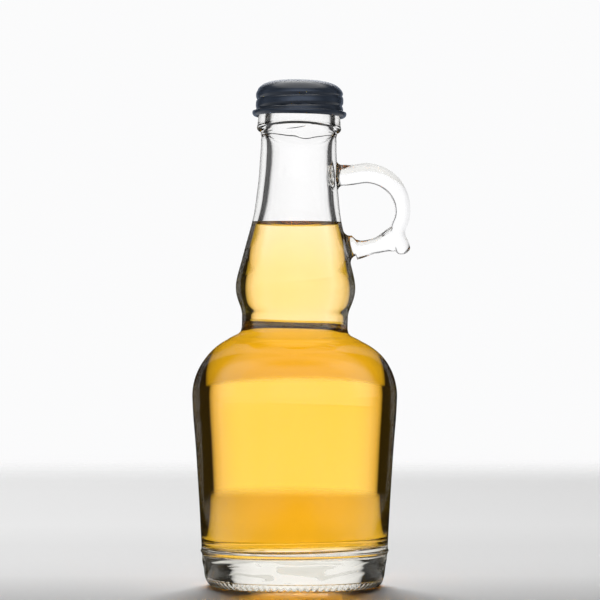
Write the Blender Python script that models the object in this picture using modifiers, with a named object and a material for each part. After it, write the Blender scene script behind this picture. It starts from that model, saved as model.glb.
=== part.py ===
"""A small clear glass bottle with a ring handle on its neck, filled with an amber drink and shut by a metal screw cap.

Everything is at real size, with +Z up. The bottle stands on z = 0, and the origin is the middle of its outline as
seen from above. The round body is then a little to the left of the origin and the handle reaches out to the right.
"""

import math

import bmesh
import bpy
from mathutils import Matrix, Vector

MM = 0.001

# Driving dimensions, in millimetres.
BODY_RADIUS = 36.8
HANDLE_REACH = 42.0  # from the body's axis to the outside of the ring
BODY_WIDEST_Z = 68.0
SHOULDER_RADIUS = 22.1  # of the arc that rounds the body off
HEEL_RADIUS = 33.2
RIDGE_Z = 12.6
RIDGE_RADIUS = 33.7
BEARING_OUTER = 30.6
BEARING_INNER = 28.4
PUSH_UP = 2.6
WAIST_RADIUS = 18.95
WAIST_Z = 96.0
BULB_RADIUS = 21.5
BULB_Z = 107.0
BEAD_RADIUS = 15.1  # the ring of glass below the cap
BEAD_LOW = 162.0
BEAD_HIGH = 165.2
LAND_RADIUS = 14.7  # between the bead and the cap
LAND_HIGH = 168.2
FINISH_RADIUS = 14.2  # the part of the neck that the cap covers
MOUTH_RADIUS = 9.8
LIP_Z = 178.9
FLOOR_Z = 11.9
DRINK_LEVEL = 129.7
CAP_RADIUS = 15.75
CAP_RIM_RADIUS = 16.9
CAP_LOW = 168.9
CAP_TOP = 180.7
CAP_WALL = 1.1
CAP_LID = 1.4
THREAD_PITCH = 3.5
THREAD_DEPTH = 0.5
THREAD_LOW = 171.4
THREAD_HIGH = 178.4
LEAN_DEGREES = 1.25  # the blown neck leans towards its handle
LEAN_START = 86.0
LEAN_FULL = 93.0
GAP = 0.3  # between the glass and what it holds or what holds it

# The ring handle, in the plane y = 0, measured from the body's axis.
RING_CENTRE = (26.4, 134.6)
RING_HALF_WIDTH = 12.3
RING_HALF_HEIGHT = 13.8
RING_FROM, RING_TO = 112.0, -42.0  # degrees round the ring, from its top strand to its tail
RING_STEPS = 15
STRAND = 3.05  # radius of the glass strand on the ring's right
STRAND_AT_TOP = 3.75
NECK_ROOT = (13.3, 146.8, 5.2)  # x, z and strand radius, inside the neck's wall
NECK_FLARE = (17.6, 147.2, 4.1)
TAIL = ((37.2, 123.6, 3.3), (38.2, 121.6, 3.55), (38.7, 120.2, 3.2), (39.0, 119.0, 1.9))
LOWER_STRAND = ((36.6, 123.6, 2.6), (31.0, 122.3, 2.9), (25.0, 120.9, 3.1), (21.3, 120.2, 3.7), (17.5, 119.6, 5.0))

AXIS_X = (BODY_RADIUS - HANDLE_REACH) / 2
SEGMENTS = 40
SHARP_ANGLE = math.radians(40)


def clear_scene():
    for obj in list(bpy.data.objects):
        bpy.data.objects.remove(obj, do_unlink=True)


def new_collection(name):
    collection = bpy.data.collections.new(name)
    bpy.context.scene.collection.children.link(collection)
    return collection


def new_material(name, colour, roughness, metallic=0.0, transmission=0.0, ior=1.5):
    material = bpy.data.materials.new(name)
    material.use_nodes = True
    shader = material.node_tree.nodes["Principled BSDF"]
    shader.inputs["Base Color"].default_value = (*colour, 1.0)
    shader.inputs["Roughness"].default_value = roughness
    shader.inputs["Metallic"].default_value = metallic
    shader.inputs["Transmission Weight"].default_value = transmission
    shader.inputs["IOR"].default_value = ior
    material.diffuse_color = (*colour, 1.0)
    return material


def arc(centre, radius, start, end, steps):
    """Points (r, z) on an arc, with its angles in degrees from the +r direction."""
    angles = [math.radians(start + (end - start) * i / steps) for i in range(steps + 1)]
    return [(centre[0] + radius * math.cos(a), centre[1] + radius * math.sin(a)) for a in angles]


def curve_through(stations, steps):
    """A smooth Catmull-Rom line through the stations, with the given number of steps between each two."""
    points = [Vector(station) for station in stations]
    points = [2 * points[0] - points[1], *points, 2 * points[-1] - points[-2]]
    line = []
    for before, start, end, after in zip(points, points[1:], points[2:], points[3:]):
        for step in range(steps):
            t = step / steps
            line.append(
                0.5
                * (
                    2 * start
                    + (end - before) * t
                    + (2 * before - 5 * start + 4 * end - after) * t**2
                    + (3 * start - before - 3 * end + after) * t**3
                )
            )
    line.append(points[-2])
    return [(point.x, point.y) for point in line]


def inset(path, distance):
    """The path moved to its left by the distance, which for the inner wall is towards the axis."""
    moved = []
    for i, (r, z) in enumerate(path):
        before, after = path[max(i - 1, 0)], path[min(i + 1, len(path) - 1)]
        along = Vector((after[0] - before[0], after[1] - before[1])).normalized()
        moved.append((max(r - along.y * distance, 0.0), z + along.x * distance))
    return moved


def inner_wall():
    """From the middle of the floor, outwards and then up to just under the lip. The glass is thickest at the heel."""
    floor = [(0.0, FLOOR_Z + 2.0), (9.0, FLOOR_Z + 1.7), (17.0, FLOOR_Z + 0.7)]
    heel = [(23.0, FLOOR_Z), (26.4, FLOOR_Z + 1.9), (28.4, FLOOR_Z + 6.4)]
    body = [(30.3, 26.0), (31.7, 38.0), (33.0, 54.0), (33.8, BODY_WIDEST_Z - 2)]
    shoulder = [(32.9, 74.4), (29.8, 80.4), (24.4, 84.9), (18.4, 87.9)]
    bulb = [(15.9, 90.9), (15.6, WAIST_Z), (17.3, 102.0), (18.2, BULB_Z), (17.4, 112.6)]
    neck = [(15.1, 120.2), (12.8, 129.2), (11.2, 138.5), (10.4, 149.0), (10.0, 160.0), (MOUTH_RADIUS, LIP_Z - 1.2)]
    return [*curve_through(floor + heel, 1), *curve_through(body + shoulder + bulb + neck, 1)]


def outer_wall():
    """From the lip down to the bearing ring and in under the push-up to the axis."""
    lip = arc((FINISH_RADIUS - 1.2, LIP_Z - 1.2), 1.2, 90, 0, 2)
    land = [(FINISH_RADIUS, LAND_HIGH), (LAND_RADIUS, LAND_HIGH - 0.5), (LAND_RADIUS - 0.1, BEAD_HIGH + 0.2)]
    bead = [(BEAD_RADIUS, BEAD_HIGH - 0.9), (BEAD_RADIUS - 0.2, BEAD_LOW + 1.1)]
    neck = curve_through([(13.1, BEAD_LOW), (13.7, 152.5), (14.75, 139.9), (16.1, 129.8)], 2)
    bulb = curve_through([(17.75, 123.5), (19.7, 115.6), (BULB_RADIUS, BULB_Z), (20.3, 101.2)], 2)
    waist = [(WAIST_RADIUS + 0.1, 97.9), (WAIST_RADIUS, WAIST_Z), (WAIST_RADIUS + 0.2, 91.8)]
    centre = (BODY_RADIUS - SHOULDER_RADIUS, BODY_WIDEST_Z)
    shoulder = [(20.4, 90.1), *arc(centre, SHOULDER_RADIUS, 70, 0, 7)]
    taper = [(36.4, 61.5), (35.5, 48.2), (34.3, 31.5), (33.45, RIDGE_Z + 3.0)]
    ridge = [(RIDGE_RADIUS, RIDGE_Z + 0.7), (RIDGE_RADIUS, RIDGE_Z - 0.3), (HEEL_RADIUS, RIDGE_Z - 1.0)]
    heel = [(32.4, 5.0), (31.9, 2.2), (BEARING_OUTER, 0.0), (BEARING_INNER, 0.0)]
    push_up = [(24.0, PUSH_UP * 0.55), (14.0, PUSH_UP * 0.9), (0.0, PUSH_UP)]
    return [*lip, *land, *bead, *neck, *bulb, *waist, *shoulder, *taper, *ridge, *heel, *push_up]


def cap_profile():
    """From the middle of the top, over its edge, down the threaded side, round the curled rim and up the inside."""
    inside = CAP_RADIUS - CAP_WALL
    under_lid = CAP_TOP - CAP_LID
    below = [(0.0, under_lid), (inside - 0.6, under_lid), (inside, under_lid - 0.6), (inside, CAP_LOW + 1.0)]
    rim = [(inside + 0.3, CAP_LOW), (CAP_RIM_RADIUS - 0.5, CAP_LOW), (CAP_RIM_RADIUS, CAP_LOW + 1.0)]
    rim += [(CAP_RIM_RADIUS - 0.35, CAP_LOW + 1.8), (CAP_RADIUS, CAP_LOW + 2.4)]
    rows = round((THREAD_HIGH - THREAD_LOW) / THREAD_PITCH * 6)
    side = [(CAP_RADIUS, THREAD_LOW + (THREAD_HIGH - THREAD_LOW) * i / rows) for i in range(rows + 1)]
    top = arc((CAP_RADIUS - 2.0, CAP_TOP - 2.0), 2.0, 8, 90, 4)
    return [(0.0, CAP_TOP), *reversed([*below, *rim, *side, *top])]


def thread_groove(r, z, turn):
    """How far the rolled thread presses the cap's side in, at a height and a part of a turn."""
    if r < CAP_RADIUS - 0.01 or not THREAD_LOW - 0.01 < z < THREAD_HIGH + 0.01:
        return 0.0
    wave = 0.5 - 0.5 * math.cos(2 * math.pi * ((z - THREAD_LOW) / THREAD_PITCH - turn))
    fade = min(1.0, (z - THREAD_LOW) / 0.8, (THREAD_HIGH - z) / 0.8)
    return THREAD_DEPTH * wave**2 * max(fade, 0.0)


def turned(name, profile, material):
    """Turns a profile, in millimetres and running down its outer side, about the body's axis into a mesh object."""
    mesh = bpy.data.meshes.new(name)
    mesh.from_pydata([(r * MM, 0.0, z * MM) for r, z in profile], [(i, i + 1) for i in range(len(profile) - 1)], [])
    blank = bpy.data.objects.new(name + "_blank", mesh)
    bpy.context.scene.collection.objects.link(blank)
    screw = blank.modifiers.new("turn", "SCREW")
    screw.steps = screw.render_steps = SEGMENTS
    screw.use_merge_vertices = True
    screw.merge_threshold = 0.00001
    graph = bpy.context.evaluated_depsgraph_get()
    solid = bpy.data.meshes.new_from_object(blank.evaluated_get(graph))
    bpy.data.objects.remove(blank, do_unlink=True)
    solid.name = name
    solid.materials.clear()
    solid.materials.append(material)
    return bpy.data.objects.new(name, solid)


def leaned(point):
    """Where a point, in metres from the body's axis, goes as the neck leans towards the handle."""
    height = point.z / MM
    share = min(max((height - LEAN_START) / (LEAN_FULL - LEAN_START), 0.0), 1.0)
    share = share * share * (3 - 2 * share)
    pivot = Vector((0.0, 0.0, LEAN_FULL * MM))
    return Matrix.Rotation(math.radians(LEAN_DEGREES) * share, 3, "Y") @ (point - pivot) + pivot


def lean_and_place(obj):
    for vertex in obj.data.vertices:
        vertex.co = leaned(vertex.co) + Vector((AXIS_X * MM, 0.0, 0.0))


def finish(obj, collection):
    obj.data.shade_smooth()
    obj.data.set_sharp_from_angle(angle=SHARP_ANGLE)
    collection.objects.link(obj)


def strand(name, points, collection):
    """A strand of glass along points (x, z, radius), as a closed mesh ready for a Boolean."""
    curve = bpy.data.curves.new(name, "CURVE")
    curve.dimensions = "3D"
    curve.bevel_depth = MM
    curve.bevel_resolution = 3
    curve.use_fill_caps = True
    spline = curve.splines.new("POLY")
    spline.points.add(len(points) - 1)
    for target, (x, z, radius) in zip(spline.points, points):
        target.co = ((x + AXIS_X) * MM, 0.0, z * MM, 1.0)
        target.radius = radius
    source = bpy.data.objects.new(name + "_path", curve)
    bpy.context.scene.collection.objects.link(source)
    graph = bpy.context.evaluated_depsgraph_get()
    mesh = bpy.data.meshes.new_from_object(source.evaluated_get(graph))
    obj = bpy.data.objects.new(name, mesh)
    obj.matrix_world = source.matrix_world
    bpy.data.objects.remove(source, do_unlink=True)
    shape = bmesh.new()
    shape.from_mesh(mesh)
    bmesh.ops.remove_doubles(shape, verts=shape.verts, dist=0.00001)
    bmesh.ops.recalc_face_normals(shape, faces=shape.faces)
    shape.to_mesh(mesh)
    shape.free()
    obj.hide_render = True
    obj.display_type = "WIRE"
    collection.objects.link(obj)
    return obj


def ring_points():
    """The handle's main strand: out of the neck, round the ring, and down into its tail."""
    points = [NECK_ROOT, NECK_FLARE]
    for step in range(RING_STEPS + 1):
        share = step / RING_STEPS
        angle = math.radians(RING_FROM + (RING_TO - RING_FROM) * share)
        x = RING_CENTRE[0] + RING_HALF_WIDTH * math.cos(angle)
        z = RING_CENTRE[1] + RING_HALF_HEIGHT * math.sin(angle)
        radius = STRAND + (STRAND_AT_TOP - STRAND) * max(math.sin(angle), 0.0) ** 2
        points.append((x, z, radius))
    return [*points, *TAIL]


def make_bottle(collection, helpers):
    glass = new_material("clear_flint_glass", (0.92, 0.95, 0.94), 0.02, transmission=1.0, ior=1.52)
    bottle = turned("bottle", [*inner_wall(), *outer_wall()], glass)
    lean_and_place(bottle)
    finish(bottle, collection)
    for name, points in (("ring_strand", ring_points()), ("lower_strand", LOWER_STRAND)):
        join = bottle.modifiers.new(name, "BOOLEAN")
        join.operation = "UNION"
        join.solver = "EXACT"
        join.object = strand(name, points, helpers)
    return bottle


def make_drink(collection):
    amber = new_material("amber_drink", (0.93, 0.58, 0.12), 0.0, transmission=1.0, ior=1.36)
    wall = [(r, z) for r, z in inner_wall() if z < DRINK_LEVEL - 2.0]
    below, above = wall[-1], inner_wall()[len(wall)]
    share = (DRINK_LEVEL - below[1]) / (above[1] - below[1])
    wall.append((below[0] + (above[0] - below[0]) * share, DRINK_LEVEL))
    side = inset(wall, GAP)
    side[-1] = (side[-1][0], DRINK_LEVEL)
    drink = turned("drink", [(0.0, DRINK_LEVEL), *reversed(side)], amber)
    top = [vertex.index for vertex in drink.data.vertices if vertex.co.z > (DRINK_LEVEL - 0.01) * MM]
    lean_and_place(drink)
    for index in top:
        drink.data.vertices[index].co.z = DRINK_LEVEL * MM
    finish(drink, collection)
    return drink


def make_cap(collection):
    lacquer = new_material("black_lacquered_aluminium", (0.035, 0.045, 0.065), 0.35, metallic=0.6)
    cap = turned("cap", cap_profile(), lacquer)
    for vertex in cap.data.vertices:
        r = math.hypot(vertex.co.x, vertex.co.y) / MM
        turn = math.atan2(vertex.co.y, vertex.co.x) / (2 * math.pi)
        groove = thread_groove(r, vertex.co.z / MM, turn)
        if groove > 0:
            vertex.co.x *= (r - groove) / r
            vertex.co.y *= (r - groove) / r
    lean_and_place(cap)
    finish(cap, collection)
    return cap


def main():
    clear_scene()
    parts = new_collection("handled_glass_bottle")
    helpers = new_collection("handle_strands")
    make_bottle(parts, helpers)
    make_drink(parts)
    make_cap(parts)


main()
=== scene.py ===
import math

import bmesh
import bpy
import numpy as np
from mathutils import Matrix, Vector, noise


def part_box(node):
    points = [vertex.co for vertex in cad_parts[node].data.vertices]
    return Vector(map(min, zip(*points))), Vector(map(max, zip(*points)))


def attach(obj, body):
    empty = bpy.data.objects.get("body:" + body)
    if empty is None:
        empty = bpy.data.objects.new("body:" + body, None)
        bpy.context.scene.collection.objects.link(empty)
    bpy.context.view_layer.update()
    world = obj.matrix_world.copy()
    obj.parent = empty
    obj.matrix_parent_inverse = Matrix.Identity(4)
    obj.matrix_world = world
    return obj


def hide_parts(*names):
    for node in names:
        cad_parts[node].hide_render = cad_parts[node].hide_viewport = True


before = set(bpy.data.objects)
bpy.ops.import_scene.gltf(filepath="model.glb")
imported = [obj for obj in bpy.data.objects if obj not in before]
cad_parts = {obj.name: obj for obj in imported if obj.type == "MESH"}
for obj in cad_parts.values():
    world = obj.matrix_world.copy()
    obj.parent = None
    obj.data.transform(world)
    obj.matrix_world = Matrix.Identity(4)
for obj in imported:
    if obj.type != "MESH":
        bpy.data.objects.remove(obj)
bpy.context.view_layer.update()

mm = 0.001
onAxis = 1e-6  # mm; a ring of a smaller radius is a single point
samePoint = 0.02  # mm; points of an outline nearer than this are one
white = (1.0, 1.0, 1.0, 1.0)
scene = bpy.context.scene

# The frame's own places, from which the rest is worked out.
bottleLow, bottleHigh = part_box("bottle")
bodyRadius = (bottleHigh.y - bottleLow.y) / 2 / mm
axisX = bottleLow.x / mm + bodyRadius
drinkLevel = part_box("drink")[1].z / mm

leanValues = {
    "degrees": 1.25,  # the blown neck leans towards its handle
    "startZ": 81.0,
    "fullZ": 92.0,
    "pivotZ": 93.0,
}


def leaned(points):
    # Points in mm from the upright axis, turned with the neck and moved to the frame, in metres.
    v = leanValues
    points = np.asarray(points, float)
    share = np.clip((points[:, 2] - v["startZ"]) / (v["fullZ"] - v["startZ"]), 0, 1)
    angle = math.radians(v["degrees"]) * share * share * (3 - 2 * share)
    x, z = points[:, 0], points[:, 2] - v["pivotZ"]
    turnedX = x * np.cos(angle) + z * np.sin(angle)
    turnedZ = z * np.cos(angle) - x * np.sin(angle) + v["pivotZ"]
    return np.column_stack([turnedX + axisX, points[:, 1], turnedZ]) * mm


def upright(x, z):
    # A point measured on the leaning neck, back on the upright axis.
    angle = math.radians(leanValues["degrees"])
    pivotZ = leanValues["pivotZ"]
    z = z - pivotZ
    return x * math.cos(angle) - z * math.sin(angle), z * math.cos(angle) + x * math.sin(angle) + pivotZ


def splineThrough(stations, spacing):
    # A cubic spline with smooth curvature through the stations, sampled every spacing mm.
    points = np.array(stations, float)
    at = np.concatenate([[0], np.cumsum(np.linalg.norm(np.diff(points, axis=0), axis=1))])
    count = len(points)
    left = np.eye(count)
    right = np.zeros_like(points)
    for i in range(1, count - 1):
        before, after = at[i] - at[i - 1], at[i + 1] - at[i]
        left[i, i - 1:i + 2] = before, 2 * (before + after), after
        right[i] = 6 * ((points[i + 1] - points[i]) / after - (points[i] - points[i - 1]) / before)
    bend = np.linalg.solve(left, right)
    samples = np.linspace(0, at[-1], max(3, round(at[-1] / spacing) + 1))
    i = np.clip(np.searchsorted(at, samples, side="right") - 1, 0, count - 2)
    span = (at[i + 1] - at[i])[:, None]
    past = (samples - at[i])[:, None]
    ahead = span - past
    cubic = (bend[i] * ahead**3 + bend[i + 1] * past**3) / (6 * span)
    start = points[i] / span - bend[i] * span / 6
    end = points[i + 1] / span - bend[i + 1] * span / 6
    return cubic + start * ahead + end * past


def arcPoints(centre, radius, start, end, steps):
    # Points round a centre from start to end in degrees.
    a = np.radians(np.linspace(start, end, steps + 1))
    return np.column_stack([centre[0] + radius * np.cos(a), centre[1] + radius * np.sin(a)])


def joined(*pieces):
    # Pieces of an outline end to end, without doubled points.
    line = np.vstack(pieces)
    keep = np.concatenate([[True], np.linalg.norm(np.diff(line, axis=0), axis=1) > samePoint])
    return line[keep]


def offsetLine(line, distance):
    # The line moved sideways, to its right as it runs.
    along = np.gradient(line, axis=0)
    along /= np.linalg.norm(along, axis=1)[:, None]
    return line + np.column_stack([along[:, 1], -along[:, 0]]) * distance


def levelAt(stations, place):
    # The level at a place, straight between stations of (place, level) and steady outside them.
    places, levels = zip(*stations)
    return float(np.interp(place, places, levels))


def crest(z, middle, half):
    # A smooth ridge, 1 at its middle.
    return math.exp(-((z - middle) / half) ** 2)


def turnedMesh(name, rings):
    # A closed turned skin. Each ring is (r, z, columns, place), and place(r, z, turn) gives its points.
    vertices, starts = [], []
    for r, z, columns, place in rings:
        starts.append(len(vertices))
        if r < onAxis:
            vertices.append((0.0, 0.0, z))
            continue
        vertices += [place(r, z, 2 * math.pi * k / columns) for k in range(columns)]
    faces = []
    for i in range(len(rings) - 1):
        a, b = starts[i], starts[i + 1]
        n0, n1 = rings[i][2], rings[i + 1][2]
        if rings[i][0] < onAxis:
            faces += [(a, b + k, b + (k + 1) % n1) for k in range(n1)]
        elif rings[i + 1][0] < onAxis:
            faces += [(a + (k + 1) % n0, a + k, b) for k in range(n0)]
        elif n1 >= n0:
            step = n1 // n0
            for k in range(n0):
                finer = [b + (k * step + j) % n1 for j in range(step + 1)]
                faces.append((a + (k + 1) % n0, a + k, *finer))
        else:
            step = n0 // n1
            for k in range(n1):
                finer = [a + (k * step + j) % n0 for j in range(step, -1, -1)]
                faces.append((b + k, b + (k + 1) % n1, *finer))
    mesh = bpy.data.meshes.new(name)
    mesh.from_pydata(vertices, [], faces)
    return mesh


def newPiece(name, mesh):
    piece = bpy.data.objects.new(name, mesh)
    scene.collection.objects.link(piece)
    return piece


def tidyNormals(mesh):
    shape = bmesh.new()
    shape.from_mesh(mesh)
    bmesh.ops.remove_doubles(shape, verts=shape.verts, dist=1e-4)
    bmesh.ops.recalc_face_normals(shape, faces=shape.faces)
    shape.to_mesh(mesh)
    shape.free()


def setPoints(mesh, points):
    # The mesh's points moved, in metres.
    mesh.vertices.foreach_set("co", np.asarray(points, np.float32).ravel())
    mesh.update()


def meshPoints(mesh):
    points = np.empty(len(mesh.vertices) * 3, np.float32)
    mesh.vertices.foreach_get("co", points)
    return points.reshape(-1, 3)


def linear(hexColour):
    # An sRGB hex colour as linear RGB with alpha.
    channels = [int(hexColour[i:i + 2], 16) / 255 for i in (1, 3, 5)]
    return (*[c / 12.92 if c <= 0.04045 else ((c + 0.055) / 1.055) ** 2.4 for c in channels], 1.0)


def addNode(tree, kind, settings=None, links=None):
    # settings are the node's own values or, by name or number, its sockets'; links join sockets to it.
    # A colour mix takes its factor at socket 0 and its colours at 6 and 7, and gives the result at 2.
    node = tree.nodes.new(kind)
    for key, value in (settings or {}).items():
        if isinstance(key, str) and hasattr(node, key):
            setattr(node, key, value)
        else:
            node.inputs[key].default_value = value
    for key, socket in (links or {}).items():
        tree.links.new(socket, node.inputs[key])
    return node


def newMaterial(name):
    material = bpy.data.materials.new(name)
    material.use_nodes = True
    material.node_tree.nodes.clear()
    return material, material.node_tree


bottleValues = {
    "columns": 144,
    "lipZ": 178.9,
    "mouthRadius": 10.8,
    "shoulderRadius": 22.1,
    "widestZ": 68.0,
    "ridgeZ": 12.7,  # the ridge round the heel
    "ridgeHalf": 0.9,
    "ridgeHeight": 0.45,
    "ridgeRadius": 33.3,
    "floorZ": 11.9,
    "floorDome": 0.9,
    "floorSlope": 0.036,  # the pool of glass under the drink set thicker on one side
    "slopeTopZ": 34.0,
    "slopeFade": 20.0,
    "pushUp": 2.9,
    "outerWave": 0.03,  # mm of uneven surface left by the mould
    "innerWave": 0.16,  # the blown inside is less even
    "innerSeed": 3.7,
    "waveLength": 26.0,
    "waveUp": 0.8,  # the waves are drawn out a little up the wall
    "calmRadius": 8,  # mm from the axis within which they fade out
    # The blown inside sits a little off the outside's axis, with more glass to one side: (z, mm).
    "innerShift": [(60, 0), (84, -0.4), (95, -1.0), (108, -0.8), (125, 0.0), (150, 0.3), (180, 0.2)],
}


def innerOutline():
    # From the middle of the floor out and up the inside to just under the lip.
    v = bottleValues
    floorZ, dome = v["floorZ"], v["floorDome"]
    middle = [(-9.0, floorZ + dome * 0.85), (0.0, floorZ + dome), (9.0, floorZ + dome * 0.85)]
    floor = [(17.0, floorZ + 0.6), (22.6, floorZ), (26.2, floorZ + 1.6), (28.2, floorZ + 6.0)]
    wall = [(29.6, 24.0), (31.2, 34.0), (32.3, 45.0), (33.2, 56.0), (33.85, 66.0)]
    shoulder = [(33.4, 73.0), (31.0, 79.4), (25.6, 84.4), (20.4, 86.9), (17.6, 88.6), (16.1, 91.0)]
    bulb = [(15.5, 94.6), (15.9, 98.8), (17.0, 103.6), (17.6, 108.2), (17.0, 113.4), (15.1, 120.4)]
    neck = [(12.8, 129.2), (11.2, 138.5), (10.4, 149.0), (10.3, 157.0), (10.8, 164.0), (10.9, 170.0)]
    mouth = [(v["mouthRadius"], v["lipZ"] - 0.8)]
    line = splineThrough(middle + floor + wall + shoulder + bulb + neck + mouth, 0.9)
    line = line[line[:, 0] > 0.5]
    return joined([(0.0, floorZ + dome)], line)


def outerOutline():
    # From the lip down the outside, over the bearing ring and in to the middle of the push-up.
    v = bottleValues
    lipZ, ridgeZ, ridgeHalf, pushUp = v["lipZ"], v["ridgeZ"], v["ridgeHalf"], v["pushUp"]
    lip = joined(
        arcPoints((v["mouthRadius"] + 0.6, lipZ - 0.6), 0.6, 150, 90, 3),
        arcPoints((13.0, lipZ - 1.2), 1.2, 90, 0, 5),
    )
    finish = [(14.2, 174.0), (14.2, 171.0), (14.45, 169.8), (14.6, 168.8), (14.8, 167.6), (14.93, 166.6)]
    bead = [(14.94, 166.4), (14.96, 165.6), (14.99, 164.8), (15.02, 163.8), (15.03, 162.8), (14.92, 161.8)]
    bead += [(14.6, 160.8), (14.2, 159.6), (13.82, 158.3), (13.58, 157.0)]
    neck = [(13.58, 157.0), (13.55, 156.0), (13.7, 153.2), (14.1, 146.4), (14.75, 139.9), (15.7, 132.5)]
    bulb = [(16.95, 127.0), (18.6, 120.5), (19.95, 115.0), (21.0, 110.9), (21.5, 107.0), (21.2, 104.2)]
    bulb += [(20.25, 101.2), (19.4, 98.9), (19.04, 97.1)]
    ledge = [(19.04, 97.1), (19.05, 95.6), (19.16, 94.5), (19.38, 93.55), (19.66, 92.8), (20.02, 92.2)]
    ledge += [(20.5, 91.6), (21.1, 90.9), (21.85, 90.1), (22.7, 89.25), (23.4, 88.5)]
    centre = (bodyRadius - v["shoulderRadius"], v["widestZ"])
    shoulder = arcPoints(centre, v["shoulderRadius"], 64.5, 0, 44)
    taper = [(36.8, 68.0), (36.55, 62.5), (35.75, 52.5), (34.95, 41.0), (34.2, 29.0), (33.45, 15.0)]
    # The ridge's upper foot runs straight into the taper and its lower one into the heel.
    z = np.linspace(ridgeZ + ridgeHalf, ridgeZ - ridgeHalf, 13)[2:-1]
    height = v["ridgeHeight"] * np.cos((z - ridgeZ) / ridgeHalf * math.pi / 2) ** 1.5
    ridge = np.column_stack([v["ridgeRadius"] + height, z])
    heel = [(33.2, 11.4), (32.9, 8.0), (32.45, 4.8), (31.9, 2.6), (31.0, 0.95), (29.9, 0.12)]
    bearing = [(29.3, 0.0), (28.7, 0.0), (28.1, 0.0), (27.5, 0.1), (26.7, 0.5)]
    under = [(26.7, 0.5), (24.6, 1.3), (18.0, 2.2), (9.0, pushUp - 0.2), (0.6, pushUp)]
    return joined(
        lip, finish, splineThrough(bead, beadValues["spacing"]), splineThrough(neck + bulb, 0.8),
        splineThrough(ledge, 0.3), shoulder, splineThrough(taper, 1.0), ridge, splineThrough(heel, 0.35)[1:],
        bearing, splineThrough(under, 0.9), [(0.0, pushUp)],
    )


def uneven(r, z, turn, size, seed):
    # The radius with the slow waves of a moulded or blown wall.
    v = bottleValues
    length = v["waveLength"]
    x, y = r * math.cos(turn), r * math.sin(turn)
    wave = size * noise.noise(Vector((x / length + seed, y / length, z / length * v["waveUp"])))
    return r + wave * min(1.0, r / v["calmRadius"])


def innerPlace(r, z, turn):
    # A point of the inside: the wall off the axis, the floor thicker on one side.
    v = bottleValues
    r = uneven(r, z, turn, v["innerWave"], v["innerSeed"])
    x, y = r * math.cos(turn) + levelAt(v["innerShift"], z), r * math.sin(turn)
    return x, y, z + v["floorSlope"] * x * min(1.0, max(0.0, (v["slopeTopZ"] - z) / v["slopeFade"]))


heelValues = {
    "topZ": 11.0,
    "leastRadius": 30.0,
    "wave": 0.42,  # the heel chills first and is less even
    "waveLength": 12.0,
    "waveUp": 3,  # the waves are this much shorter up the wall than round it
    "fade": 2,  # mm below its top over which they set in
}


def heelRadius(r, z, turn):
    # The heel's uneven radius, which fades out at its top.
    v = heelValues
    across = v["waveLength"]
    size = v["wave"] * min(1.0, (v["topZ"] - z) / v["fade"])
    place = Vector((r * math.cos(turn) / across, r * math.sin(turn) / across, z / across * v["waveUp"]))
    return r + size * noise.noise(place)


bearingValues = {
    "columns": 480,
    "bumps": 80,  # stippling that keeps the hot base off the belt
    "height": 0.65,
    "topZ": 2.6,
    "fineZ": 2.7,  # rings below this have the finer columns
    "leastRadius": 26.5,
    "ringRadius": 30.0,
    "ringHalf": 3.4,
    "liftFade": 3.4,  # mm up over which the hollows between the bumps run out
    "liftGain": 1.6,
    "swell": 0.5,  # how far a bump also stands out sideways, over its height
    "swellGain": 2,
}


def bumpPlace(r, z, turn):
    # The bearing ring's bumps, as the radius and height of a point.
    v = bearingValues
    bump = 0.5 + 0.5 * math.cos(turn * v["bumps"])
    onRing = max(0.0, 1 - abs(r - v["ringRadius"]) / v["ringHalf"])
    z += v["height"] * (1 - bump) * min(1.0, onRing * v["liftGain"]) * (1 - z / v["liftFade"])
    r += v["height"] * v["swell"] * (bump - 0.5) * min(1.0, onRing * v["swellGain"]) * (1 - z / v["topZ"])
    return r, z


# At the mould's two seams, left and right, the bead under the cap hangs lower and ends in a tight corner,
# where in front it runs gently into the neck. Stations are (z, mm), or (z, share of the sag).
beadValues = {
    "lowZ": 148.0,
    "highZ": 168.4,
    "spacing": 0.118,  # close rings, so that the thin marks keep their shape
    "sag": 1.6,
    "drop": [(148.0, 0.0), (157.0, 1.9), (161.5, 0.3), (164.7, -1.0), (165.7, -1.0), (168.4, 0.0)],
    "swell": [(157.0, 0.0), (160.0, -0.1), (162.3, 0.05), (164.3, 0.05), (165.6, -0.05), (167.0, 0.0)],
    "cut": [(157, 0), (158, 0.2), (159, 0.48), (160, 0.75), (161, 1.05), (162, 1.32), (163, 1.42),
            (163.8, 1.25), (164.4, 0.8), (164.9, 0.3), (165.3, 0)],
    "crestZ": 165.85,  # the sharp ring on top
    "crestHalf": 0.46,
    "crestHeight": 0.5,
    "crestAtBack": 0.15,  # share of its height there
    "crestGain": 2.2,  # more makes it full over a wider front
    "crestLossAtSeam": 0.5,
    "markHeight": 0.2,  # two marks in front: where the glass was sheared, and a wavy one below
    "wavy": [(-10.0, 161.5), (-7.5, 161.2), (-4.0, 160.8), (-1.0, 160.7), (0.8, 160.1), (2.2, 159.8),
             (3.6, 159.9), (5.1, 160.3), (8.4, 160.7), (10.0, 161.0)],  # x, z
    "wavyHalf": 0.22,
    "shearZ": 163.6,  # its height at shearX, from where it slopes and bends up
    "shearX": -1.5,
    "shearSlope": 0.14,
    "shearBend": 0.02,
    "shearHalf": 0.2,
    "shearMiddleX": -0.8,
    "shearHalfLength": 4.2,
}


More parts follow.
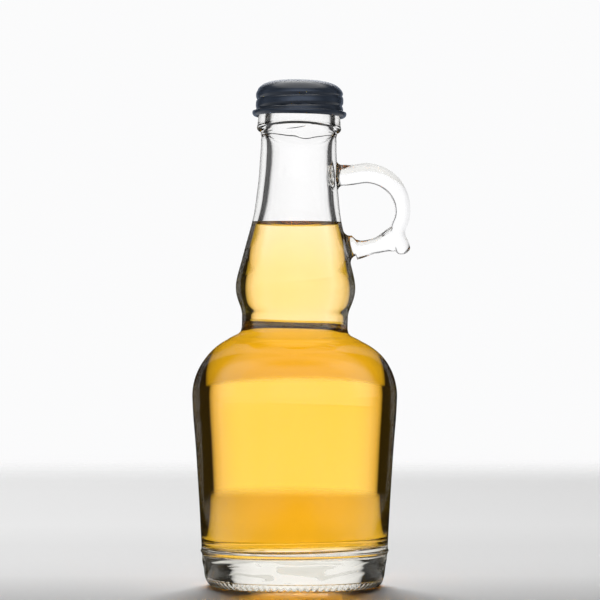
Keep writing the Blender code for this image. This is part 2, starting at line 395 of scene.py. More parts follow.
def beadRadius(r, z, turn):
    # The sharp ring on top of the bead, the wavy mark where it runs into the neck and the shear mark.
    v = beadValues
    front = 0.5 - 0.5 * math.sin(turn)
    x = r * math.cos(turn)
    reach = v["crestAtBack"] + (1 - v["crestAtBack"]) * min(1.0, front * v["crestGain"])
    atSeam = 1 - v["crestLossAtSeam"] * math.cos(turn) ** 4
    r += v["crestHeight"] * reach * atSeam * crest(z, v["crestZ"], v["crestHalf"])
    r += v["markHeight"] * front ** 3 * crest(z, levelAt(v["wavy"], x), v["wavyHalf"])
    aside = x - v["shearX"]
    shearZ = v["shearZ"] + v["shearSlope"] * aside + v["shearBend"] * aside ** 2
    across = crest(x, v["shearMiddleX"], v["shearHalfLength"])
    return r + v["markHeight"] * front ** 3 * crest(z, shearZ, v["shearHalf"]) * across


neckValues = {
    # (z, mm) by which the ledge under the bulb is cut in sharper at the seams
    "ledgeCut": [(88.5, 0), (89.25, 0.75), (90.1, 1.65), (90.9, 1.7), (91.6, 1.3), (92.2, 0.95),
                 (92.8, 0.62), (93.55, 0.36), (94.5, 0.14), (95.6, 0)],
    # (z, mm) by which the bulb's top falls away more gently halfway between the seams and the front
    "bulbEase": [(108.0, 0.0), (112.0, 0.05), (119.0, 0.42), (127.0, 0.25), (137.0, 0.0)],
}


def outerPlace(r, z, turn):
    # A point of the outside, with what the mould, the seams and the chilled base change on it.
    r = uneven(r, z, turn, bottleValues["outerWave"], 0.0)
    seam = math.cos(turn) ** 2
    if z < heelValues["topZ"] and r > heelValues["leastRadius"]:
        r = heelRadius(r, z, turn)
    if z < bearingValues["topZ"] and r > bearingValues["leastRadius"]:
        r, z = bumpPlace(r, z, turn)
    v = beadValues
    if v["lowZ"] < z < v["highZ"]:
        r = beadRadius(r, z, turn) + seam * levelAt(v["swell"], z)
        r -= seam ** 2 * levelAt(v["cut"], z)
        z += seam * v["sag"] * levelAt(v["drop"], z)
    r -= seam ** 3 * levelAt(neckValues["ledgeCut"], z)
    r += math.sin(2 * turn) ** 2 * levelAt(neckValues["bulbEase"], z)
    return r * math.cos(turn), r * math.sin(turn), z


def makeGlassSkin():
    rings = [(r, z, bottleValues["columns"], innerPlace) for r, z in innerOutline()]
    for r, z in outerOutline():
        fine = z < bearingValues["fineZ"] and r > bearingValues["leastRadius"]
        rings.append((r, z, (bearingValues if fine else bottleValues)["columns"], outerPlace))
    return turnedMesh("glassSkin", rings)


handleValues = {
    "ringCentre": (25.5, 134.9),  # x, z on the leaning neck
    "ringRadius": 13.38,
    "ringStart": (18.4, 147.5, 3.75, 2.2),  # x, z, half width and half depth in mm
    "ringTurns": (105, 90, 75, 60, 45, 30, 15, 0, -15, -28),  # degrees round the centre
    "ringHalf": 2.78,
    "ringHalfAtTop": 3.62,
    "ringDepth": 1.15,
    "ringDepthAtTop": 1.9,
    "topGain": 1.3,  # more keeps the thick glass nearer the top
    "ringTip": 1.1,  # 0 is an ellipse; more makes a blunt inside and a thin outer edge
    "tail": [(37.15, 125.9, 2.7, 1.2), (37.9, 123.7, 2.75, 1.25), (38.6, 121.9, 2.82, 1.3),
             (38.85, 121.1, 2.75, 1.3)],
    "tailLength": 0.75,  # how far its rounded end reaches, over its half width
    "lower": [(22.3, 120.7, 3.6, 2.3), (24.4, 120.9, 3.1, 2.0), (27.0, 121.6, 2.75, 1.8),
              (29.5, 122.2, 2.85, 1.7), (31.5, 122.9, 3.2, 1.6), (33.2, 123.6, 3.7, 1.5),
              (34.9, 124.1, 4.2, 1.3), (36.3, 124.7, 4.6, 1.1)],
    "fold": (33.2, 127.0, 40.0),  # x, z and degrees of tilt
    "foldHalves": (2.7, 2.9, 0.85),
    "ringRoot": (15.2, 147.4, 2.0),  # x, z and fillet in mm
    "lowerRoot": (19.3, 121.6, 2.5),
    "rootSunk": (-1.4, -0.12),  # two rings inside the wall, so that the strand joins it cleanly
    "rootRings": 8,
    "rootFrom": 0.18,  # radians round the fillet
    "slopeRise": 0.2,  # mm up and down between which the wall's slope is taken
    "neckLowZ": 100,
    "neckHighZ": 160,
    "columns": 44,
    "spacing": 0.55,
}

outerLine = outerOutline()[::-1]


def wallRadius(z):
    # The neck's outside radius; only there does each height have just one.
    onNeck = (outerLine[:, 1] > handleValues["neckLowZ"]) & (outerLine[:, 1] < handleValues["neckHighZ"])
    return float(np.interp(z, outerLine[onNeck, 1], outerLine[onNeck, 0]))


def section(half, depth, tip, columns):
    # One section of the glass as (aside, outward) points, like a drop with its thin end outward.
    turns = np.arange(columns) / columns * 2 * math.pi
    aside = np.sin(turns) * np.abs(np.sin(turns / 2)) ** tip
    return list(zip(aside / aside.max() * depth, np.cos(turns) * half))


def rootRings(z, fillet, points):
    # Rings that spread over the neck's wall round a strand's root, from inside the wall out to the strand.
    v = handleValues
    turns = np.linspace(v["rootFrom"], math.pi / 2, v["rootRings"])
    steps = [(sunk, 1.0) for sunk in v["rootSunk"]]
    steps += [(fillet * (1 - math.cos(a)), 1 - math.sin(a)) for a in turns]
    rise = v["slopeRise"]
    rings = []
    for lift, spread in steps:
        ring = []
        for aside, up in points:
            length = math.hypot(aside, up)
            wider = (length + fillet * spread) / length
            y, height = aside * wider, z + up * wider
            r = wallRadius(height)
            slope = (wallRadius(height + rise) - wallRadius(height - rise)) / (2 * rise)
            x = math.sqrt(max(r * r - y * y, 0.01))
            normal = Vector((x, y, -r * slope)).normalized()
            ring.append(Vector((x, y, height)) + normal * lift)
        rings.append(ring)
    return rings


def strandMesh(name, stations, root, tip, rounded):
    # A closed strand of glass: root rings on the neck's wall, then sections along the stations.
    v = handleValues
    columns = v["columns"]
    line = splineThrough([(*upright(x, z), half, depth) for x, z, half, depth in stations], v["spacing"])
    tangents = np.gradient(line[:, :2], axis=0)
    tangents /= np.linalg.norm(tangents, axis=1)[:, None]
    rootX, rootZ, fillet = root
    rings = rootRings(upright(rootX, rootZ)[1], fillet, section(line[0][2], line[0][3], tip, columns))
    for (x, z, half, depth), (tx, tz) in zip(line, tangents):
        points = section(half, depth, tip, columns)
        rings.append([Vector((x - tz * up, y, z + tx * up)) for y, up in points])
    if rounded:
        (x, z, half, depth), (tx, tz) = line[-1], tangents[-1]
        for a in np.radians(np.arange(12, 88, 12)):
            reach = half * v["tailLength"] * math.sin(a)
            endX, endZ = x + tx * reach, z + tz * reach
            points = section(half * math.cos(a), depth * math.cos(a), tip, columns)
            rings.append([Vector((endX - tz * up, y, endZ + tx * up)) for y, up in points])
    vertices = [p for ring in rings for p in ring]
    faces = []
    for i in range(len(rings) - 1):
        a, b = i * columns, (i + 1) * columns
        faces += [(a + k, a + (k + 1) % columns, b + (k + 1) % columns, b + k) for k in range(columns)]
    faces += [tuple(range(columns))[::-1], tuple(range(len(vertices) - columns, len(vertices)))]
    mesh = bpy.data.meshes.new(name)
    mesh.from_pydata(vertices, [], faces)
    tidyNormals(mesh)
    return mesh


def makeRing():
    # The ring, thicker towards its top root, and the short tail below it.
    v = handleValues
    (middleX, middleZ), radius = v["ringCentre"], v["ringRadius"]
    stations = [v["ringStart"]]
    for degrees in v["ringTurns"]:
        a = math.radians(degrees)
        high = max(math.sin(a), 0) ** v["topGain"]
        half = v["ringHalf"] + (v["ringHalfAtTop"] - v["ringHalf"]) * high
        depth = v["ringDepth"] + (v["ringDepthAtTop"] - v["ringDepth"]) * high
        stations.append((middleX + radius * math.cos(a), middleZ + radius * math.sin(a), half, depth))
    return strandMesh("ringStrand", stations + v["tail"], v["ringRoot"], v["ringTip"], True)


def makeLowerStrand():
    # The nearly level strand from the bulb out to the ring's tail.
    v = handleValues
    return strandMesh("lowerStrand", v["lower"], v["lowerRoot"], 0.0, False)


def makeFold():
    # The small thick fold of glass inside the corner where the two strands meet.
    x, z, tilt = handleValues["fold"]
    x, z = upright(x, z)
    body = bmesh.new()
    bmesh.ops.create_uvsphere(body, u_segments=24, v_segments=14, radius=1.0)
    stretch = Matrix.Diagonal((*handleValues["foldHalves"], 1.0))
    body.transform(Matrix.Translation((x, 0.0, z)) @ Matrix.Rotation(-math.radians(tilt), 4, "Y") @ stretch)
    mesh = bpy.data.meshes.new("fold")
    body.to_mesh(mesh)
    body.free()
    tidyNormals(mesh)
    return mesh


def joinByBoolean(piece, others):
    # The others melted into the piece, as one skin.
    for other in others:
        join = piece.modifiers.new("join", "BOOLEAN")
        join.operation = "UNION"
        join.solver = "EXACT"
        join.object = other
    graph = bpy.context.evaluated_depsgraph_get()
    mesh = bpy.data.meshes.new_from_object(piece.evaluated_get(graph))
    piece.modifiers.clear()
    piece.data = mesh
    for other in others:
        bpy.data.objects.remove(other, do_unlink=True)


glassBottle = newPiece("glassBottle", makeGlassSkin())
tidyNormals(glassBottle.data)
strands = [("ringStrand", makeRing()), ("lowerStrand", makeLowerStrand()), ("fold", makeFold())]
joinByBoolean(glassBottle, [newPiece(name, mesh) for name, mesh in strands])
setPoints(glassBottle.data, leaned(meshPoints(glassBottle.data)))
glassBottle.data.shade_smooth()
glassBottle.data.set_sharp_from_angle(angle=math.radians(60))
print("bottle made:", len(glassBottle.data.polygons), "faces")

drinkValues = {
    "columns": 160,
    "intoWall": 0.15,  # mm that the drink reaches into the glass, so that no air shows between them
    "levelDrop": 1.9,  # the CAD's level is the height at the wall, which the drink climbs
    "meniscusRise": 2.3,
    "meniscusWidth": 1.7,  # mm from the wall over which it falls to about a third
    "rimGap": 0.3,  # mm below the meniscus's edge that the wall's last ring stays
    "tiltDepth": 8,  # mm below the surface where the drink starts to turn back level in the leaning neck
    "tiltFade": 7,
}


def makeDrink():
    # The drink: the bottle's inside up to the level, with a meniscus up the wall.
    v = drinkValues
    level = drinkLevel - v["levelDrop"]
    rim = level + v["meniscusRise"]
    inside = innerOutline()
    side = offsetLine(inside, v["intoWall"])
    side[0] = (0.0, inside[0, 1] - v["intoWall"])
    below = side[side[:, 1] < rim - v["rimGap"]]
    near = side[np.abs(side[:, 1] - rim) < 4]
    edgeR = float(np.interp(rim, near[:, 1], near[:, 0]))
    wall = joined(below, [(edgeR, rim)])
    width = v["meniscusWidth"]
    # Rings close together on the steep part, then further apart to the middle.
    steep, gentle = np.linspace(0.1, width, 12), np.linspace(width * 1.3, width * 4, 10)
    top = []
    for inward in [*steep, *gentle, 8.0, edgeR - 0.4]:
        top.append((edgeR - inward, level + v["meniscusRise"] * math.exp(-inward / width)))
    outline = [*map(tuple, wall), *top, (0.0, level)]
    tilt = math.tan(math.radians(leanValues["degrees"]))

    def place(r, z, turn):
        x, y, z = innerPlace(r, z, turn)
        share = min(max((z - level + v["tiltDepth"]) / v["tiltFade"], 0.0), 1.0)
        return x, y, z + x * tilt * share * share * (3 - 2 * share)

    mesh = turnedMesh("amberDrink", [(r, z, v["columns"], place) for r, z in outline])
    tidyNormals(mesh)
    setPoints(mesh, leaned(meshPoints(mesh)))
    return mesh


amberDrink = newPiece("amberDrink", makeDrink())
amberDrink.data.shade_smooth()
print("drink made:", len(amberDrink.data.polygons), "faces")

capValues = {
    "columns": 192,
    "radius": 15.75,
    "lowZ": 168.5,
    "topZ": 181.6,
    "skirtRadius": 16.95,
    "threadPitch": 3.55,
    "threadDepth": 0.5,
    "threadLowZ": 171.2,
    "threadHighZ": 177.9,
    "threadPhase": 0.573,
    "threadSharpness": 1.8,  # more leaves broader crests between narrower grooves
    "threadRuns": (0.5, 0.3),  # mm by which it runs on below its low end and above its high one
    "threadFade": 0.8,  # mm up or down over which it gets its full depth
    "wall": 0.7,  # the thread is pressed into the outside only
}


def makeCap():
    # The cap: a domed top with a rounded edge, a threaded side, and a flared and curled skirt.
    v = capValues
    radius, lowZ, topZ, skirt = v["radius"], v["lowZ"], v["topZ"], v["skirtRadius"]
    low, high, fade = v["threadLowZ"], v["threadHighZ"], v["threadFade"]
    runIn, runOut = v["threadRuns"]
    top = [(0.0, topZ), (3.0, topZ - 0.02), (6.0, topZ - 0.11)]
    edge = [(6.0, topZ - 0.11), (8.5, topZ - 0.31), (10.3, topZ - 0.6), (12.0, topZ - 1.08)]
    edge += [(13.4, topZ - 1.75), (14.5, topZ - 2.65), (15.2, topZ - 3.55), (15.62, topZ - 4.5)]
    edge += [(radius, topZ - 5.2)]
    side = [(radius, z) for z in np.arange(topZ - 5.4, low - 0.3, -0.2)]
    flare = [(radius, low - 0.4), (radius + 0.1, low - 0.9), (skirt - 0.25, lowZ + 1.9)]
    flare += [(skirt, lowZ + 1.15), (skirt - 0.35, lowZ + 0.35), (skirt - 0.95, lowZ)]
    flare += [(radius - 0.15, lowZ + 0.5), (radius - 0.4, lowZ + 1.4)]
    inside = [(radius - 0.95, lowZ + 2.4), (radius - 1.1, lowZ + 4.0), (radius - 1.1, topZ - 4.6)]
    inside += [(radius - 1.6, topZ - 3.6), (radius - 3.0, topZ - 2.7), (0.0, topZ - 2.4)]
    outline = joined(top, splineThrough(edge, 0.3), side, splineThrough(flare, 0.2), inside)

    def place(r, z, turn):
        if r > radius - v["wall"]:
            phase = (z - low) / v["threadPitch"] - turn / (2 * math.pi) + v["threadPhase"]
            groove = (1 - abs(math.sin(math.pi * phase))) ** v["threadSharpness"]
            sunk = min(1.0, max(0.0, (z - low + runIn) / fade), max(0.0, (high + runOut - z) / fade))
            r -= v["threadDepth"] * groove * sunk
        return r * math.cos(turn), r * math.sin(turn), z

    mesh = turnedMesh("screwCap", [(r, z, v["columns"], place) for r, z in outline])
    tidyNormals(mesh)
    setPoints(mesh, leaned(meshPoints(mesh)))
    return mesh


screwCap = newPiece("screwCap", makeCap())
screwCap.data.shade_smooth()
screwCap.data.set_sharp_from_angle(angle=math.radians(50))
print("cap made:", len(screwCap.data.polygons), "faces")

glassValues = {
    "ior": 1.52,  # soda-lime container glass
    "roughness": 0.0,
    "absorbColour": (0.5, 0.4, 0.0),  # linear: with the density it sets how fast each colour is lost
    "density": 3.0,  # per metre, so that only the thick base and the edges show it
    "waveSize": 1000 / 90,  # mm, the slow unevenness of a blown wall
    "waveHeight": 0.4,
    "waveStrength": 0.03,
}


def flintGlass():
    # Clear flint soda-lime glass, blown in a mould: bright in the middle, dark at its edges, faintly uneven.
    v = glassValues
    material, tree = newMaterial("flintGlassBlown")
    place = addNode(tree, "ShaderNodeTexCoord")
    waves = addNode(tree, "ShaderNodeTexNoise", {"Scale": 1 / (v["waveSize"] * mm), "Detail": 2.0},
                    {"Vector": place.outputs["Object"]})
    bump = addNode(tree, "ShaderNodeBump", {
        "Strength": v["waveStrength"],
        "Distance": v["waveHeight"] * mm,
    }, {"Height": waves.outputs["Fac"]})
    shader = addNode(tree, "ShaderNodeBsdfPrincipled", {
        "Base Color": linear("#FFFFFF"),
        "Roughness": v["roughness"],
        "IOR": v["ior"],
        "Transmission Weight": 1.0,
    }, {"Normal": bump.outputs["Normal"]})
    depth = addNode(tree, "ShaderNodeVolumeAbsorption", {
        "Color": (*v["absorbColour"], 1.0),
        "Density": v["density"],
    })
    addNode(tree, "ShaderNodeOutputMaterial", {}, {
        "Surface": shader.outputs["BSDF"],
        "Volume": depth.outputs["Volume"],
    })
    return material


liquidValues = {
    "ior": 1.36,
    "absorbColour": (0.991, 0.868, 0.0),  # linear, as the glass's
    "density": 47.0,
}


def amberLiquid():
    # Clear amber drink, filtered: the deeper the light goes the less blue is left.
    v = liquidValues
    material, tree = newMaterial("amberLiquidFiltered")
    shader = addNode(tree, "ShaderNodeBsdfPrincipled", {
        "Base Color": linear("#FFFFFF"),
        "Roughness": 0.0,
        "IOR": v["ior"],
        "Transmission Weight": 1.0,
    })
    depth = addNode(tree, "ShaderNodeVolumeAbsorption", {
        "Color": (*v["absorbColour"], 1.0),
        "Density": v["density"],
    })
    addNode(tree, "ShaderNodeOutputMaterial", {}, {
        "Surface": shader.outputs["BSDF"],
        "Volume": depth.outputs["Volume"],
    })
    return material


lacquerValues = {
    "colour": "#3D495C",
    "roughness": 0.2,
    "specular": 0.35,
    "coat": 0.15,
    "coatRoughness": 0.1,
    "grainSize": 1000 / 1500,  # mm, coarser than the real skin's so that it shows
    "grainHeight": 0.1,
    "grainStrength": 0.1,
}


def capLacquer():
    # Tinplate rolled and lacquered blue-black: a satin skin with soft highlights along its thread.
    v = lacquerValues
    material, tree = newMaterial("lacqueredTinplateRolled")
    place = addNode(tree, "ShaderNodeTexCoord")
    grain = addNode(tree, "ShaderNodeTexNoise", {"Scale": 1 / (v["grainSize"] * mm), "Detail": 3.0},
                    {"Vector": place.outputs["Object"]})
    bump = addNode(tree, "ShaderNodeBump", {
        "Strength": v["grainStrength"],
        "Distance": v["grainHeight"] * mm,
    }, {"Height": grain.outputs["Fac"]})
    shader = addNode(tree, "ShaderNodeBsdfPrincipled", {
        "Base Color": linear(v["colour"]),
        "Roughness": v["roughness"],
        "Specular IOR Level": v["specular"],
        "Coat Weight": v["coat"],
        "Coat Roughness": v["coatRoughness"],
    }, {"Normal": bump.outputs["Normal"]})
    addNode(tree, "ShaderNodeOutputMaterial", {}, {"Surface": shader.outputs["BSDF"]})
    return material


for piece, node, slot, material in (
    (glassBottle, "bottle", "glass", flintGlass()),
    (amberDrink, "drink", "drink", amberLiquid()),
    (screwCap, "cap", "cap", capLacquer()),
):
    piece.data.materials.clear()
    piece.data.materials.append(material)
    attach(piece, "root")
    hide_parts(node)
print("materials made")

studioValues = {
    "eyeZ": 81.7,
    "distance": 1007.0,
    "focalPixels": 2800.0,
    "pictureSize": 600.0,
    "eyeLine": 358.0,  # the row of the picture at eye level
    "centreX": -0.7,
    "nearClip": 50.0,
    "tableHalf": 2500.0,
    "tableNear": (-300.0, 0.0),  # rows of the table in front of its sweep
    "tableDrop": 0.1,  # below the bottle's foot, so that the two never touch
    "tableRoughness": 0.3,
    "tableGloss": 0.01,
    "paintedFalloffFrom": -60.0,  # painted light falloff: from front to back the table gets paler
    "paintedFalloffTo": 340.0,
    "palenessWithPaintedFalloff": [(0, 0.5), (0.27, 0.725), (0.61, 0.815), (0.78, 0.9), (1, 0.92)],
    "paintedSideShade": 0.0004,  # painted shade: share lost per mm to the right
    "fadeFrom": 1300.0,  # mm from the bottle between which the table fades into the backdrop
    "fadeTo": 2200.0,
    "sweepFrom": 100.0,
    "sweepTo": 600.0,
    "sweepRows": 40,
    "sweepRadius": 1680.0,
    "horizonLow": 20.0,  # mm up the sweep between which it fades there
    "horizonHigh": 31.0,
}

worldValues = {
    # First the levels by degrees aside from straight behind, left and right alike.
    # Light through glass sees the panel, then a dark gap, then the bright side walls.
    "through": [(0, 1.0), (20, 0.97), (27, 0.86), (32, 0.72), (34.5, 0.42), (36, 0.015), (72, 0.015),
                (85, 0.9), (180, 0.9)],
    # Less of the side walls is left once the wall round the drink has thrown the light back.
    "thrownBack": [(0, 1.0), (72, 1.0), (85, 0.04), (180, 0.04)],
    # Through the drink the panel's colour is deeper towards its sides.
    "drinkEdge": [(0, (1.08, 0.93, 1.36)), (17, (1.08, 0.93, 1.2)), (24, (1.1, 0.88, 0.8)),
                  (33, (1.08, 0.74, 0.4)), (72, (1.0, 0.7, 0.35)), (85, (1.0, 1.0, 1.0)),
                  (180, (1.0, 1.0, 1.0))],
    # The lamp that lights matt surfaces stands behind.
    "backAside": [(0, 1.0), (16, 1.0), (20, 0.4), (24, 0.001), (180, 0.001)],
    "aside": 1.2,  # degrees by which all these stand off to the left
    # Levels by degrees from straight behind in any direction: what smooth glass mirrors, and all else.
    "mirrored": [(0, 0.2), (5, 0.1), (9, 0.01), (68, 0.01), (78, 0.6), (102, 0.6), (112, 0.1), (140, 0.1),
                 (155, 0.4), (180, 0.4)],
    "soft": [(0, 0.25), (35, 0.25), (40, 0.1), (60, 0.1), (75, 0.4), (105, 0.4), (115, 0.4), (140, 1.1),
             (155, 1.8), (180, 1.8)],
    "softColour": (0.82, 0.95, 1.2),
    # Levels by degrees up, of the panel and of the lamp.
    "height": [(-15, 1.16), (45, 1.16), (60, 0.4), (90, 0.3)],
    "back": [(-15, 0.2), (15, 0.2), (24, 13.6), (50, 13.6), (58, 0.05), (90, 0.05)],
    "drinkGlow": (0.85, 0.56, 0.48),  # light that reaches the table through the drink
    "clearShare": (0.82, 0.82, 0.83),  # the panel shows less through clear glass than through the drink
    "paintedTableThroughDrink": (1.7, 1.74, 0.38),  # painted light and tint: the table as it shows through the drink
    "paintedTableThroughClear": (1.2, 1.195, 1.17),  # and painted lighter through clear glass
    "paintedGapsNearTable": (80.0, 170.0),  # mm from the axis between which the painted shade of the dark gaps sets in on the table
    "panel": 1.14,
    "ceiling": 2.2,
    "ceilingFrom": 44.0,
    "ceilingTo": 60.0,
    "seen": (0.965, 0.965, 0.97),  # the backdrop itself
    "drinkSurfaces": 5.5,  # light that has passed more surfaces than this has passed the drink
    "tossedSurfaces": 8.5,  # and more than this has been thrown to and fro
}


def levelRamp(tree, value, stops, span):
    # Levels or colours at stops of (position, level), between which they run straight.
    ramp = addNode(tree, "ShaderNodeValToRGB", {}, {0: value})
    elements = ramp.color_ramp.elements
    while len(elements) < len(stops):
        elements.new(0.5)
    for element, (place, level) in zip(elements, stops):
        element.position = place / span
        element.color = (*level, 1.0) if isinstance(level, tuple) else (level, level, level, 1.0)
    return ramp.outputs["Color"]


def asideShare(tree, split):
    # Degrees aside from straight behind, over 180.
    turn = math.radians(worldValues["aside"])
    around = addNode(tree, "ShaderNodeMath", {"operation": "ARCTAN2"},
                     {0: split.outputs["X"], 1: split.outputs["Y"]})
    moved = addNode(tree, "ShaderNodeMath", {"operation": "ADD", 1: turn}, {0: around.outputs[0]})
    either = addNode(tree, "ShaderNodeMath", {"operation": "ABSOLUTE"}, {0: moved.outputs[0]})
    share = addNode(tree, "ShaderNodeMath", {"operation": "DIVIDE", 1: math.pi}, {0: either.outputs[0]})
    return share.outputs[0]


def throughDrink(tree, path):
    # 1 for light that has passed the drink and both walls: six surfaces, where clear glass has two or four.
    passed = addNode(tree, "ShaderNodeMath", {"operation": "GREATER_THAN", 1: worldValues["drinkSurfaces"]},
                     {0: path.outputs["Transmission Depth"]})
    return passed.outputs[0]


def bouncedShare(tree, path):
    # 1 for light mirrored off smooth glass or thrown to and fro in it; 0 for light just through it.
    last = addNode(tree, "ShaderNodeMath", {"operation": "SUBTRACT", "use_clamp": True},
                   {0: path.outputs["Is Singular Ray"], 1: path.outputs["Is Transmission Ray"]})
    often = addNode(tree, "ShaderNodeMath", {"operation": "GREATER_THAN", 1: worldValues["tossedSurfaces"]},
                    {0: path.outputs["Transmission Depth"]})
    either = addNode(tree, "ShaderNodeMath", {"operation": "MAXIMUM"},
                     {0: last.outputs[0], 1: often.outputs[0]})
    return either.outputs[0]


def gapLevel(tree, share, path):
    # What light through glass sees of the panel, the gaps and the side walls.
    beside = levelRamp(tree, share, worldValues["through"], 180)
    dimmer = levelRamp(tree, share, worldValues["thrownBack"], 180)
    thrown = addNode(tree, "ShaderNodeMath", {"operation": "MINIMUM", 1: 1.0},
                     {0: path.outputs["Glossy Depth"]})
    inDrink = addNode(tree, "ShaderNodeMath", {"operation": "MULTIPLY"},
                      {0: thrown.outputs[0], 1: throughDrink(tree, path)})
    factor = addNode(tree, "ShaderNodeMix", {"data_type": "RGBA", 6: white},
                     {0: inDrink.outputs[0], 7: dimmer})
    level = addNode(tree, "ShaderNodeVectorMath", {"operation": "MULTIPLY"},
                    {0: beside, 1: factor.outputs[2]})
    return level.outputs[0]


def tableMesh():
    # A flat sheet whose far side sweeps up.
    v = studioValues
    half = v["tableHalf"]
    depths = [-half, *v["tableNear"], *np.linspace(v["sweepFrom"], v["sweepTo"], v["sweepRows"])]
    vertices = []
    for y in depths:
        z = max(0.0, y - v["sweepFrom"]) ** 2 / 2 / v["sweepRadius"]
        vertices += [(-half * mm, y * mm, z * mm), (half * mm, y * mm, z * mm)]
    faces = [(2 * i, 2 * i + 1, 2 * i + 3, 2 * i + 2) for i in range(len(depths) - 1)]
    mesh = bpy.data.meshes.new("table")
    mesh.from_pydata(vertices, [], faces)
    mesh.shade_smooth()
    return mesh


def tableSatin():
    # Board painted pale satin, with painted light falloff: darker towards its near side and to the right;
    # its far side fades into the backdrop. Seen through or mirrored in glass, it is painted with light and
    # shade as well.
    v = studioValues
    material, tree = newMaterial("paleBoardWithPaintedLight")
    place = addNode(tree, "ShaderNodeTexCoord")
    path = addNode(tree, "ShaderNodeLightPath")
    split = addNode(tree, "ShaderNodeSeparateXYZ", {}, {0: place.outputs["Object"]})
    length = addNode(tree, "ShaderNodeVectorMath", {"operation": "LENGTH"}, {0: place.outputs["Object"]})
    far = addNode(tree, "ShaderNodeMapRange", {
        "interpolation_type": "SMOOTHSTEP",
        "From Min": v["fadeFrom"] * mm,
        "From Max": v["fadeTo"] * mm,
    }, {"Value": length.outputs["Value"]})
    risen = addNode(tree, "ShaderNodeMapRange", {
        "interpolation_type": "SMOOTHSTEP",
        "From Min": v["horizonLow"] * mm,
        "From Max": v["horizonHigh"] * mm,
    }, {"Value": split.outputs["Z"]})
    fade = addNode(tree, "ShaderNodeMath", {"operation": "MAXIMUM"},
                   {0: far.outputs[0], 1: risen.outputs[0]})
    # Painted light falloff: the table's colour is darker towards the front and to the right.
    depth = addNode(tree, "ShaderNodeMapRange", {
        "From Min": v["paintedFalloffFrom"] * mm,
        "From Max": v["paintedFalloffTo"] * mm,
    }, {"Value": split.outputs["Y"]})
    aside = addNode(tree, "ShaderNodeMath", {"operation": "MULTIPLY_ADD", 1: -v["paintedSideShade"] / mm, 2: 1.0},
                    {0: split.outputs["X"]})
    pale = addNode(tree, "ShaderNodeVectorMath", {"operation": "SCALE"},
                   {0: levelRamp(tree, depth.outputs[0], v["palenessWithPaintedFalloff"], 1.0), "Scale": aside.outputs[0]})

    # Painted light and shade: seen through or mirrored in smooth glass, the table is painted darker in the
    # gaps away from the bottle, lighter through clear glass, tinted by the drink, and given the mirrored
    # levels.
    share = asideShare(tree, split)
    away = addNode(tree, "ShaderNodeMapRange", {
        "interpolation_type": "SMOOTHSTEP",
        "From Min": worldValues["paintedGapsNearTable"][0] * mm,
        "From Max": worldValues["paintedGapsNearTable"][1] * mm,
    }, {"Value": length.outputs["Value"]})
    gap = addNode(tree, "ShaderNodeMix", {"data_type": "RGBA", 6: white},
                  {0: away.outputs[0], 7: gapLevel(tree, share, path)})
    tint = addNode(tree, "ShaderNodeMix", {
        "data_type": "RGBA",
        6: (*worldValues["paintedTableThroughClear"], 1.0),
        7: (*worldValues["paintedTableThroughDrink"], 1.0),
    }, {0: throughDrink(tree, path)})
    paintedThroughGlass = addNode(tree, "ShaderNodeVectorMath", {"operation": "MULTIPLY"},
                       {0: gap.outputs[2], 1: tint.outputs[2]})
    mirrored = levelRamp(tree, share, worldValues["mirrored"], 180)
    sharp = addNode(tree, "ShaderNodeMix", {"data_type": "RGBA"},
                    {0: bouncedShare(tree, path), 6: paintedThroughGlass.outputs[0], 7: mirrored})
    # Only rays through or off smooth glass see these painted levels; all others see the table's own colour.
    paintedForGlassRays = addNode(tree, "ShaderNodeMix", {"data_type": "RGBA", 6: white},
                   {0: path.outputs["Is Singular Ray"], 7: sharp.outputs[2]})
    colour = addNode(tree, "ShaderNodeVectorMath", {"operation": "MULTIPLY"},
                     {0: pale.outputs[0], 1: paintedForGlassRays.outputs[2]})

    matt = addNode(tree, "ShaderNodeBsdfDiffuse", {}, {"Color": colour.outputs[0]})
    satin = addNode(tree, "ShaderNodeBsdfGlossy", {"Roughness": v["tableRoughness"]},
                    {"Color": colour.outputs[0]})
    both = addNode(tree, "ShaderNodeMixShader", {0: v["tableGloss"]},
                   {1: matt.outputs[0], 2: satin.outputs[0]})
    clear = addNode(tree, "ShaderNodeBsdfTransparent")
    mix = addNode(tree, "ShaderNodeMixShader", {},
                  {0: fade.outputs[0], 1: both.outputs[0], 2: clear.outputs[0]})
    addNode(tree, "ShaderNodeOutputMaterial", {}, {"Surface": mix.outputs["Shader"]})
    return material


def makeTable():
    table = newPiece("table", tableMesh())
    table.location.z = -studioValues["tableDrop"] * mm
    table.data.materials.append(tableSatin())


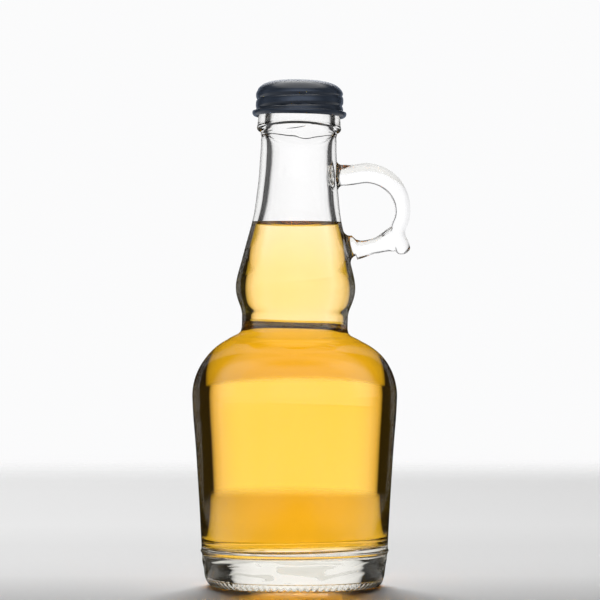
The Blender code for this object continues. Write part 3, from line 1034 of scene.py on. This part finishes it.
def makeWorld():
    # A bright panel behind, dark gaps beside it, softer panels at the sides and in front, a ceiling.
    v = worldValues
    world = bpy.data.worlds.new("studio")
    scene.world = world
    world.use_nodes = True
    tree = world.node_tree
    tree.nodes.clear()
    place = addNode(tree, "ShaderNodeTexCoord")
    path = addNode(tree, "ShaderNodeLightPath")
    split = addNode(tree, "ShaderNodeSeparateXYZ", {}, {0: place.outputs["Generated"]})
    aside = asideShare(tree, split)
    lowest = math.sin(math.radians(v["height"][0][0]))
    up = addNode(tree, "ShaderNodeMapRange", {"From Min": lowest, "From Max": 1.0},
                 {"Value": split.outputs["Z"]})

    def panelLevel(beside, upLevels):
        stops = []
        for degrees, level in upLevels:
            stops.append(((math.sin(math.radians(degrees)) - lowest) / (1 - lowest), level))
        height = levelRamp(tree, up.outputs[0], stops, 1.0)
        panel = addNode(tree, "ShaderNodeVectorMath", {"operation": "MULTIPLY"}, {0: beside, 1: height})
        return panel.outputs[0]

    # Light straight through glass, or mirrored in it.
    inDrink = throughDrink(tree, path)
    around = addNode(tree, "ShaderNodeMath", {"operation": "ARCCOSINE"}, {0: split.outputs["Y"]})
    share = addNode(tree, "ShaderNodeMath", {"operation": "DIVIDE", 1: math.pi}, {0: around.outputs[0]})
    filtered = addNode(tree, "ShaderNodeMix", {"data_type": "RGBA", 6: (*v["clearShare"], 1.0)},
                       {0: inDrink, 7: levelRamp(tree, aside, v["drinkEdge"], 180)})
    panel = addNode(tree, "ShaderNodeVectorMath", {"operation": "MULTIPLY"},
                    {0: panelLevel(gapLevel(tree, aside, path), v["height"]), 1: filtered.outputs[2]})
    sharp = addNode(tree, "ShaderNodeMix", {"data_type": "RGBA"}, {
        0: bouncedShare(tree, path),
        6: panel.outputs[0],
        7: levelRamp(tree, share.outputs[0], v["mirrored"], 180),
    })

    # What satin surfaces mirror: the soft panels and the ceiling.
    soft = addNode(tree, "ShaderNodeVectorMath", {"operation": "MULTIPLY", 1: v["softColour"]},
                   {0: levelRamp(tree, share.outputs[0], v["soft"], 180)})
    high = addNode(tree, "ShaderNodeMapRange", {
        "interpolation_type": "SMOOTHSTEP",
        "From Min": math.sin(math.radians(v["ceilingFrom"])),
        "From Max": math.sin(math.radians(v["ceilingTo"])),
    }, {"Value": split.outputs["Z"]})
    ceiling = addNode(tree, "ShaderNodeMix", {"data_type": "RGBA", 7: (*[v["ceiling"]] * 3, 1.0)},
                      {0: high.outputs[0], 6: soft.outputs[0]})
    smooth = addNode(tree, "ShaderNodeMix", {"data_type": "RGBA"},
                     {0: path.outputs["Is Singular Ray"], 6: ceiling.outputs[2], 7: sharp.outputs[2]})

    # What lights matt surfaces, straight or through the drink.
    glow = addNode(tree, "ShaderNodeMix", {"data_type": "RGBA", 6: white, 7: (*v["drinkGlow"], 1.0)},
                   {0: inDrink})
    back = panelLevel(levelRamp(tree, aside, v["backAside"], 180), v["back"])
    lamp = addNode(tree, "ShaderNodeVectorMath", {"operation": "MULTIPLY"}, {0: back, 1: glow.outputs[2]})
    shiny = addNode(tree, "ShaderNodeMath", {"operation": "MAXIMUM"},
                    {0: path.outputs["Is Glossy Ray"], 1: path.outputs["Is Singular Ray"]})
    dull = addNode(tree, "ShaderNodeMath", {"operation": "SUBTRACT", 0: 1.0}, {1: shiny.outputs[0]})
    onMatt = addNode(tree, "ShaderNodeMath", {"operation": "ADD", "use_clamp": True},
                     {0: path.outputs["Diffuse Depth"], 1: dull.outputs[0]})
    level = addNode(tree, "ShaderNodeMix", {"data_type": "RGBA"},
                    {0: onMatt.outputs[0], 6: smooth.outputs[2], 7: lamp.outputs[0]})

    seen = addNode(tree, "ShaderNodeBackground", {"Color": (*v["seen"], 1.0), "Strength": 1.0})
    lit = addNode(tree, "ShaderNodeBackground", {"Strength": v["panel"]}, {"Color": level.outputs[2]})
    mix = addNode(tree, "ShaderNodeMixShader", {},
                  {0: path.outputs["Is Camera Ray"], 1: lit.outputs[0], 2: seen.outputs[0]})
    addNode(tree, "ShaderNodeOutputWorld", {}, {"Surface": mix.outputs["Shader"]})


def makeCamera():
    v = studioValues
    data = bpy.data.cameras.new("camera")
    data.lens = v["focalPixels"] / v["pictureSize"] * data.sensor_width
    data.clip_start = v["nearClip"] * mm
    camera = bpy.data.objects.new("camera", data)
    scene.collection.objects.link(camera)
    camera.location = (v["centreX"] * mm, -v["distance"] * mm, v["eyeZ"] * mm)
    up = math.atan((v["eyeLine"] - v["pictureSize"] / 2) / v["focalPixels"])
    camera.rotation_euler = (math.pi / 2 + up, 0, 0)
    scene.camera = camera


makeTable()
makeWorld()
makeCamera()
scene.view_settings.view_transform = "Standard"
# Light crosses many walls on its way through the full bottle.
scene.cycles.max_bounces = 24
scene.cycles.transmission_bounces = 24
scene.cycles.glossy_bounces = 16
scene.cycles.blur_glossy = 0.0
print("studio made")
